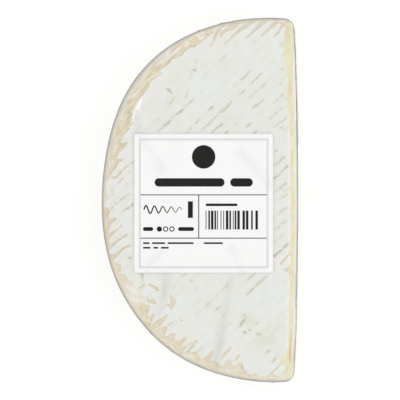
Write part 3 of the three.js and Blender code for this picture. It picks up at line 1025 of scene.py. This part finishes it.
def colour(red, green, blue):
    # from the usual 0 to 255 to Blender's linear colour
    linear = [c / 255 / 12.92 if c < 10.3 else ((c / 255 + 0.055) / 1.055) ** 2.4 for c in (red, green, blue)]
    return (*linear, 1.0)


def newGroup(name, given, result):
    tree = bpy.data.node_groups.new(name, "ShaderNodeTree")
    for socket, default in given.items():
        made = tree.interface.new_socket(socket, in_out="INPUT", socket_type="NodeSocketFloat")
        made.default_value = default
    tree.interface.new_socket(result, in_out="OUTPUT", socket_type="NodeSocketFloat")
    return tree, tree.nodes.new("NodeGroupInput").outputs, tree.nodes.new("NodeGroupOutput").inputs[result]


def buildMottle():
    # soft patches of two finishes, their size in mm, stretched along the rack's wires
    tree, given, mask = newGroup("mottle", {
        "Patch size": 5.0, "Edge": 0.5, "Share": 0.5, "Detail": 4.0, "Shift": 0.0, "Stretch": 1.0}, "Mask")
    place = addNode(tree, "TexCoord").outputs["Object"]
    stretch = addNode(tree, "CombineXYZ", {"X": given["Stretch"], "Y": 1.0, "Z": 1.0}).outputs[0]
    alongWires = addNode(tree, "Mapping", {
        "Vector": place, "Rotation": (0, 0, math.radians(rackAngle)), "Scale": stretch,
    }, vector_type="TEXTURE").outputs[0]
    noise = addNode(tree, "TexNoise", {
        "Vector": alongWires, "W": given["Shift"], "Scale": calc(tree, "DIVIDE", 1 / mm, given["Patch size"]),
        "Detail": given["Detail"], "Roughness": 0.55,
    }, noise_dimensions="4D")
    centre = calc(tree, "SUBTRACT", 1.0, given["Share"])
    half = times(tree, given["Edge"], 0.5)
    low = calc(tree, "SUBTRACT", centre, half)
    tree.links.new(spread(tree, noise.outputs["Fac"], low, plus(tree, centre, half)), mask)
    return tree


def buildGrain():
    # fine relief of two sizes, as a height in mm for a bump
    tree, given, height = newGroup("fine grain", {
        "Coarse size": 1.2, "Coarse height": 0.03, "Fine size": 0.3, "Fine height": 0.01}, "Height")
    place = addNode(tree, "TexCoord").outputs["Object"]
    heights = []
    for size in ("Coarse", "Fine"):
        scale = calc(tree, "DIVIDE", 1 / mm, given[size + " size"])
        noise = addNode(tree, "TexNoise", {"Vector": place, "Scale": scale, "Detail": 2.0})
        heights.append(times(tree, noise.outputs["Fac"], given[size + " height"]))
    tree.links.new(plus(tree, *heights), height)
    return tree


mottleGroup = buildMottle()
grainGroup = buildGrain()


def patches(tree, size, share=0.5, edge=0.3, detail=4.0, shift=0.0, stretch=1.0):
    return addNode(tree, "Group", {
        "Patch size": size, "Share": share, "Edge": edge,
        "Detail": detail, "Shift": shift, "Stretch": stretch,
    }, node_tree=mottleGroup).outputs[0]


def grainBump(tree, coarse, fine, share=1.0):
    # the bump of a grain, whose coarse and fine parts have a size and a height in mm
    height = addNode(tree, "Group", {
        "Coarse size": coarse[0], "Coarse height": coarse[1], "Fine size": fine[0], "Fine height": fine[1],
    }, node_tree=grainGroup).outputs[0]
    values = {"Height": times(tree, height, share), "Distance": mm, "Strength": 1.0}
    return addNode(tree, "Bump", values).outputs["Normal"]


def newMaterial(name):
    material = bpy.data.materials.new(name)
    material.use_nodes = True
    material.node_tree.nodes.clear()
    return material, material.node_tree


def showSurface(tree, shader):
    output = addNode(tree, "OutputMaterial")
    tree.links.new(shader.outputs[0], output.inputs["Surface"])


def dress(piece, material, slot, *nodes):
    piece.data.materials.clear()
    piece.data.materials.append(material)
    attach(piece, "root")
    if nodes:
        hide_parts(*nodes)


cheeseColours = {
    "mould": (234, 238, 234),
    "mouldWarm": (236, 236, 231),
    "mouldThin": (227, 227, 214),
    "mouldRim": (241, 240, 234),
    "tan": (224, 208, 178),
    "tanDeep": (206, 187, 153),
    "lowBand": (233, 220, 193),
    "highBand": (226, 211, 180),
    "lowBandDeep": (216, 199, 164),
    "highBandDeep": (206, 186, 148),
    "bandPale": (243, 237, 224),
    "mark": (208, 199, 176),
    "markFaint": (200, 200, 184),
    "markDeep": (188, 176, 152),
    "paste": (234, 227, 199),
    "pasteDeep": (225, 213, 177),
    "pasteChalk": (243, 239, 226),
    "pastePale": (239, 234, 214),
    "pasteStain": (222, 203, 160),
    "crease": (213, 190, 152),
    "paintedGlintWhite": (246, 243, 236),
    "veil": (212, 215, 217),
}


def cheeseMaterial():
    material, tree = newMaterial("cheese rind and paste")
    look = {name: colour(*parts) for name, parts in cheeseColours.items()}
    bare = field(tree, "bare")
    bareness = field(tree, "bareness")
    olive = field(tree, "olive")

    # the mould: velvety white, thinner in streaks along the wires, plump beside the bare rind
    mould = blend(tree, patches(tree, 10.0, edge=0.4), look["mould"], look["mouldWarm"])
    thin = times(tree, patches(tree, 6.0, share=0.42, edge=0.25, detail=6.0, shift=3.0), 0.30)
    streaks = times(tree, patches(tree, 1.1, edge=0.5, detail=3.0, shift=1.5, stretch=3.5), 0.24)
    isMark = spread(tree, olive, 0.6, 0.9)
    halo = times(tree, times(tree, spread(tree, bare, 0.8, 0.0), isMark), 0.30)
    thinner = plus(tree, plus(tree, calc(tree, "MAXIMUM", thin, halo), streaks), field(tree, "haze"))
    mould = blend(tree, thinner, mould, look["mouldThin"])
    plump = times(tree, spread(tree, bare, 1.7, 0.3), calc(tree, "SUBTRACT", 0.45, isMark))
    mould = blend(tree, plump, mould, look["mouldRim"])

    # bare rind: tan in the band, greyer in the rack's marks, darker along its edge
    high = field(tree, "high")
    bandDeep = blend(tree, high, look["lowBandDeep"], look["highBandDeep"])
    deepPatches = patches(tree, 1.3, share=0.45, edge=0.2, detail=5.0, shift=7.0, stretch=4.5)
    band = blend(tree, deepPatches, blend(tree, high, look["lowBand"], look["highBand"]), bandDeep)
    pale = times(tree, patches(tree, 1.5, share=0.43, edge=0.2, shift=9.0, stretch=5.0), 0.8)
    band = blend(tree, pale, band, look["bandPale"])
    markPatches = patches(tree, 1.6, share=0.45, edge=0.25, shift=2.0, stretch=2.0)
    mark = blend(tree, markPatches, look["mark"], look["markDeep"])
    mark = blend(tree, spread(tree, bareness, 0.25, 0.65), look["markFaint"], mark)
    isTan = spread(tree, olive, 0.1, 0.4)
    tanPatches = patches(tree, 1.6, share=0.45, edge=0.25, shift=19.0, stretch=2.0)
    tan = blend(tree, tanPatches, look["tan"], look["tanDeep"])
    rind = blend(tree, isMark, blend(tree, isTan, band, tan), mark)
    rim = times(tree, spread(tree, bare, -0.9, -0.2), patches(tree, 2.0, share=0.6, shift=12.0))
    deep = blend(tree, isMark, blend(tree, isTan, bandDeep, look["tanDeep"]), look["markDeep"])
    rind = blend(tree, times(tree, rim, 0.55), rind, deep)

    # the ragged border between them, and mould that is worn off in small flecks
    coarse = times(tree, calc(tree, "SUBTRACT", patches(tree, 0.9, edge=0.8, shift=5.0), 0.5), 0.5)
    worn = spread(tree, patches(tree, 0.7, edge=0.7, shift=15.0, stretch=1.6), 0.0, 1.0, 0.65, 1.0)
    shown = times(tree, spread(tree, plus(tree, bare, coarse), 0.18, -0.18), bareness)
    surface = blend(tree, times(tree, shown, worn), mould, rind)

    # paste: chalky in the middle of the cut, creamier towards the rind
    depth = field(tree, "paste")
    cream = blend(tree, patches(tree, 3.0, edge=0.4, shift=4.0), look["paste"], look["pasteDeep"])
    cream = blend(tree, patches(tree, 2.2, share=0.34, edge=0.2, shift=21.0), cream, look["pastePale"])
    stainPatches = patches(tree, 1.4, share=0.36, edge=0.2, shift=23.0)
    stain = times(tree, spread(tree, depth, 1.1, 0.2), stainPatches)
    cream = blend(tree, times(tree, stain, 0.7), cream, look["pasteStain"])
    cream = blend(tree, times(tree, spread(tree, depth, 4.0, 11.0), 0.85), cream, look["pasteChalk"])
    isPaste = spread(tree, depth, -0.25, 0.2)
    skinLine = times(tree, spread(tree, depth, -0.9, 0.1), patches(tree, 1.8, share=0.4, shift=17.0))
    surface = blend(tree, times(tree, skinLine, 0.6), surface, look["lowBandDeep"])
    surface = blend(tree, isPaste, surface, cream)
    surface = blend(tree, field(tree, "crease"), surface, look["crease"])

    # painted highlights: the film's white glints and its grey sheen at the upper left edge, painted onto the
    # rind
    # painted highlight: white glint streaks mixed into the rind's colour
    fromPaintedGlint = field(tree, "clinging")
    streaks = patches(tree, 0.5, share=0.5, edge=0.2, detail=1.0, shift=4.0, stretch=6.0)
    clinging = times(tree, spread(tree, fromPaintedGlint, 0.5, -0.4), streaks)
    clinging = calc(tree, "MAXIMUM", clinging, spread(tree, fromPaintedGlint, -0.45, -1.0))
    surface = blend(tree, times(tree, clinging, 0.85), surface, look["paintedGlintWhite"])
    # painted sheen: the film's grey sheen at the upper left edge, painted onto the rind
    surface = blend(tree, times(tree, field(tree, "veil"), 0.6), surface, look["veil"])

    bump = grainBump(tree, (1.1, 0.09), (0.28, 0.035), spread(tree, isPaste, 0.0, 1.0, 1.0, 0.35))
    showSurface(tree, addNode(tree, "BsdfPrincipled", {
        "Base Color": surface, "Roughness": spread(tree, isPaste, 0.0, 1.0, 0.85, 0.5), "Normal": bump,
        "Specular IOR Level": 0.3, "Subsurface Weight": 0.12, "Subsurface Scale": 0.0015,
        "Subsurface Radius": (1.0, 0.7, 0.4),
    }))
    return material


def filmMaterial():
    material, tree = newMaterial("clear film")
    bump = grainBump(tree, (2.4, 0.05), (0.7, 0.008))
    facing = addNode(tree, "LayerWeight", {"Blend": 0.5, "Normal": bump}).outputs["Facing"]
    # painted shade: on the upright walls the film darkens what shows through it at grazing angles, drawing a
    # dark outline
    outline = addNode(tree, "LayerWeight", {"Blend": 0.5}).outputs["Facing"]
    mirrored = plus(tree, times(tree, calc(tree, "POWER", facing, 5.0), 0.3), 0.04)
    low = spread(tree, field(tree, "cutFace"), 0.0, 1.0, 0.5, 0.8)
    paintedOutlineShade = times(tree, spread(tree, outline, low, 0.97), field(tree, "upright"))
    # painted shade: along the film's folds and pleats what shows through it is tinted grey
    paintedFoldShade = times(tree, field(tree, "fold"), 0.14)
    through = blend(tree, paintedFoldShade, (1, 1, 1, 1), (0.42, 0.40, 0.42, 1))
    through = blend(tree, paintedOutlineShade, through, (0.24, 0.225, 0.21, 1))
    clear = addNode(tree, "BsdfTransparent", {"Color": through}).outputs[0]
    gloss = addNode(tree, "BsdfGlossy", {"Color": (1, 1, 1, 1), "Roughness": 0.12, "Normal": bump}).outputs[0]
    shiny = addNode(tree, "MixShader", {0: mirrored, 1: clear, 2: gloss}).outputs[0]
    # the film casts no shadow of its own
    shadow = addNode(tree, "LightPath").outputs["Is Shadow Ray"]
    noShadow = addNode(tree, "BsdfTransparent", {"Color": (1, 1, 1, 1)}).outputs[0]
    showSurface(tree, addNode(tree, "MixShader", {0: shadow, 1: shiny, 2: noShadow}))
    return material


def paperMaterial():
    material, tree = newMaterial("label paper")
    base = blend(tree, patches(tree, 9.0, edge=0.4, shift=1.0), colour(250, 250, 249), colour(248, 248, 247))
    # painted shade: the paper is greyer along the film's folds under it
    base = blend(tree, times(tree, field(tree, "fold"), 0.5), base, colour(228, 228, 229))
    showSurface(tree, addNode(tree, "BsdfPrincipled", {
        "Base Color": base, "Roughness": spread(tree, patches(tree, 3.0, shift=6.0), 0.0, 1.0, 0.52, 0.6),
        "Normal": grainBump(tree, (0.9, 0.006), (0.2, 0.004)), "Specular IOR Level": 0.35,
    }))
    return material


def inkMaterial(name, dark, light):
    material, tree = newMaterial(name)
    base = blend(tree, patches(tree, 0.6, edge=0.5, shift=8.0), colour(*dark), colour(*light))
    showSurface(tree, addNode(tree, "BsdfPrincipled", {
        "Base Color": base, "Roughness": 0.6, "Normal": grainBump(tree, (0.9, 0.005), (0.2, 0.003)),
        "Specular IOR Level": 0.2,
    }))
    return material


dress(makeCheese(), cheeseMaterial(), "cheese_rind", "wrapped_cheese")
print("cheese made")
dress(makeFilm(), filmMaterial(), "clear_film", "wrapped_cheese")
print("film made")
dress(makeLabelPaper(), paperMaterial(), "label_paper", "label")
dress(makeBlackPrint(), inkMaterial("black ink", (22, 22, 20), (30, 30, 28)), "label_ink")
dress(makeGreyLine(), inkMaterial("grey ink", (222, 222, 222), (226, 226, 226)), "label_grey_ink")
print("label made")

# floor, light and camera, in metres
studio = {
    "floorSize": 30.0,
    "floorColour": (0.55, 0.55, 0.55, 1),
    "floorGlow": 0.52,
    "worldLight": 0.87,
    "softboxes": [  # place, size, power
        ((-0.80, 0.37, 0.75), 0.17, 0.9),
        ((0.8, -0.2, 0.7), 0.9, 1.6),
    ],
    "cameraHeight": 5.0,
    "frameWidth": 0.1209,  # what the 400 pixels span at the half wheel's widest level
    "widestLevel": 0.014,
}


def makeFloor():
    half = studio["floorSize"] / 2
    corners = [(-half, -half, 0), (half, -half, 0), (half, half, 0), (-half, half, 0)]
    floor = addPiece("floor", corners, [[0, 1, 2, 3]])
    material, tree = newMaterial("studio floor")
    showSurface(tree, addNode(tree, "BsdfPrincipled", {
        "Base Color": studio["floorColour"], "Roughness": 0.9, "Specular IOR Level": 0.0,
        "Emission Color": (1, 1, 1, 1), "Emission Strength": studio["floorGlow"],
    }))
    floor.data.materials.append(material)


def makeLights():
    world = bpy.data.worlds.new("studio")
    bpy.context.scene.world = world
    world.use_nodes = True
    tree = world.node_tree
    background = tree.nodes["Background"]
    # the camera sees a white world, which lights the scene a little less than white
    seen = addNode(tree, "LightPath").outputs["Is Camera Ray"]
    strength = addNode(tree, "MapRange", {"Value": seen, "To Min": studio["worldLight"], "To Max": 1.0})
    background.inputs["Color"].default_value = (1, 1, 1, 1)
    tree.links.new(strength.outputs[0], background.inputs["Strength"])
    for number, (place, size, power) in enumerate(studio["softboxes"]):
        light = bpy.data.lights.new(f"softbox {number}", "AREA")
        light.shape = "SQUARE"
        light.size = size
        light.energy = power
        lamp = bpy.data.objects.new(f"softbox {number}", light)
        bpy.context.scene.collection.objects.link(lamp)
        lamp.location = place
        lamp.rotation_euler = (-lamp.location).to_track_quat("-Z", "Y").to_euler()


def makeCamera():
    lens = bpy.data.cameras.new("camera")
    camera = bpy.data.objects.new("camera", lens)
    bpy.context.scene.collection.objects.link(camera)
    camera.location = (0, 0, studio["cameraHeight"])
    away = studio["cameraHeight"] - studio["widestLevel"]
    lens.lens = lens.sensor_width * away / studio["frameWidth"]
    lens.clip_end = 100
    bpy.context.scene.camera = camera


makeFloor()
makeLights()
makeCamera()
bpy.context.scene.view_settings.view_transform = "Standard"
print("studio made")
